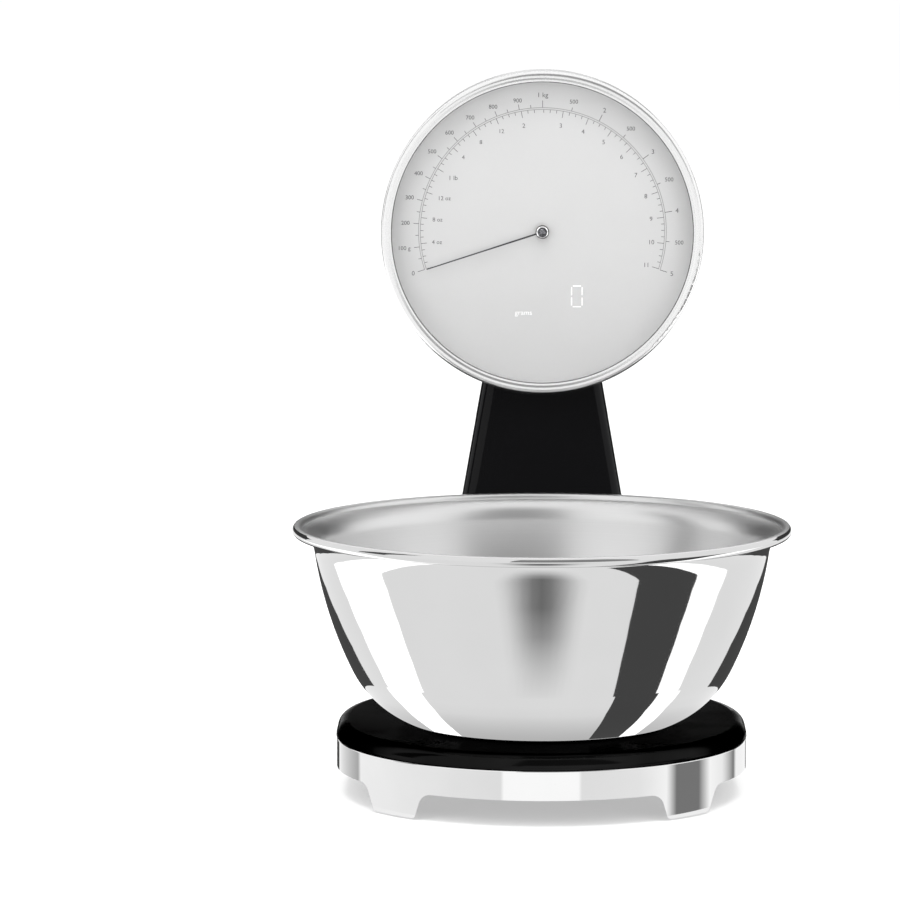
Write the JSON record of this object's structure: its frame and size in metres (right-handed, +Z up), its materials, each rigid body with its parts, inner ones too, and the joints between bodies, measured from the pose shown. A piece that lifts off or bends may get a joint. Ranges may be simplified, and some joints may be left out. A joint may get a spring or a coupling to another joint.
{
  "type": "kitchen scale",
  "caption": "Kitchen scale: a loose steel mixing bowl on an oval footed base, with a curved column that carries a round dial head with a pointer and a digital readout.",
  "frame": {"origin": "centre of the footprint, on the surface that the scale stands on", "axes": "+Z up, -Y towards the dial's front, +X to the right seen from the front"},
  "size_m": [0.24, 0.29, 0.341],
  "materials": {
    "bowl_steel": "mirror polished outside, satin inside",
    "ring_chrome": "polished chrome",
    "black_gloss": "gloss black",
    "black_matte": "fine matte black",
    "rubber_dark": "matte",
    "plate_steel": "zinc plated",
    "screw_steel": "plain",
    "cell_aluminium": "anodised",
    "head_metal": "polished",
    "bezel_chrome": "polished",
    "clear_glass": "clear",
    "gasket_grey": "matte light grey",
    "dial_grey": "satin light grey",
    "carrier_white": "moulded",
    "brass_plain": "turned",
    "needle_metal": "satin grey",
    "cap_metal": "dark turned",
    "gear_plastic": "acetal",
    "motor_metal": "plated",
    "board_green": "solder mask",
    "display_black": "matte",
    "switch_black": "matte",
    "cover_grey": "fine texture",
    "button_black": "satin",
    "cell_jacket": "printed sleeve",
    "contact_steel": "nickel plated",
    "sleeve_black": "woven sleeve"
  },
  "bodies": {
    "stand": {"base_ring": "ring_chrome", "foot_pads": "rubber_dark", "bottom_plate": "plate_steel", "bottom_screws": "screw_steel", "base_cover": "black_gloss", "load_cell": "cell_aluminium", "cell_base_spacer": "cell_aluminium", "cell_base_screws": "screw_steel", "overload_stop": "screw_steel", "column_front": "black_gloss", "column_rear": "black_gloss", "column_post": "plate_steel", "post_foot_screws": "screw_steel", "head_clamp_plate": "plate_steel", "head_clamp_screws": "screw_steel", "head_housing": "head_metal", "bezel_ring": "bezel_chrome", "lens": "clear_glass", "lens_gasket": "gasket_grey", "dial_spacer_ring": "dial_grey", "dial_face": "dial_grey", "dial_carrier": "carrier_white", "carrier_screws": "screw_steel", "display_module": "display_black", "arbor_bush": "brass_plain", "stepper_motor": "motor_metal", "motor_screws": "screw_steel", "main_board": "board_green", "board_screws": "screw_steel", "button_switches": "switch_black", "rear_cover": "cover_grey", "rear_cover_screws": "screw_steel", "battery_box": "carrier_white", "batteries": "cell_jacket", "battery_contacts": "contact_steel", "wire_harness": "sleeve_black"},
    "platform": {"weighing_platform": "black_matte", "platform_screws": "screw_steel", "platform_spider": "cell_aluminium", "cell_top_spacer": "cell_aluminium", "cell_top_screws": "screw_steel"},
    "bowl": {"bowl": "bowl_steel"},
    "pointer": {"pointer": "needle_metal", "pointer_cap": "cap_metal", "pointer_arbor": "screw_steel", "pointer_gear": "gear_plastic"},
    "pinion": {"motor_pinion": "gear_plastic", "motor_shaft": "screw_steel"},
    "tare_button": {"tare_button": "button_black", "tare_plunger": "switch_black"},
    "unit_button": {"unit_button": "button_black", "unit_plunger": "switch_black"},
    "battery_door": {"battery_door": "cover_grey"}
  },
  "joints": [
    {"name": "platform_press", "type": "slide", "parent": "stand", "child": "platform", "axis": [0, 0, -1], "range_m": [0, 0.0005], "stiffness_N_per_m": 98000, "springref_m": -0.0001, "deforming": ["load_cell"]},
    {"name": "bowl_lift", "type": "slide", "parent": "platform", "child": "bowl", "axis": [0, 0, 1], "range_m": [0, 0.2]},
    {"name": "pointer_turn", "type": "hinge", "parent": "stand", "child": "pointer", "pos_m": [0, 0.1085, 0.2602], "axis": [0, 1, 0], "range_deg": [0, 216]},
    {"name": "pinion_turn", "type": "hinge", "parent": "stand", "child": "pinion", "pos_m": [0, 0.115, 0.2858], "axis": [0, 1, 0], "range_deg": [-648, 0]},
    {"name": "tare_press", "type": "slide", "parent": "stand", "child": "tare_button", "axis": [0, -1, 0], "range_m": [0, 0.0009], "stiffness_N_per_m": 800},
    {"name": "unit_press", "type": "slide", "parent": "stand", "child": "unit_button", "axis": [0, -1, 0], "range_m": [0, 0.0009], "stiffness_N_per_m": 800},
    {"name": "door_hinge", "type": "hinge", "parent": "stand", "child": "battery_door", "pos_m": [0, 0.1419, 0.2112], "axis": [-1, 0, 0], "range_deg": [0, 100]}
  ],
  "couplings": [
    {"joint": "pinion_turn", "follows": "pointer_turn", "ratio": -3}
  ]
}
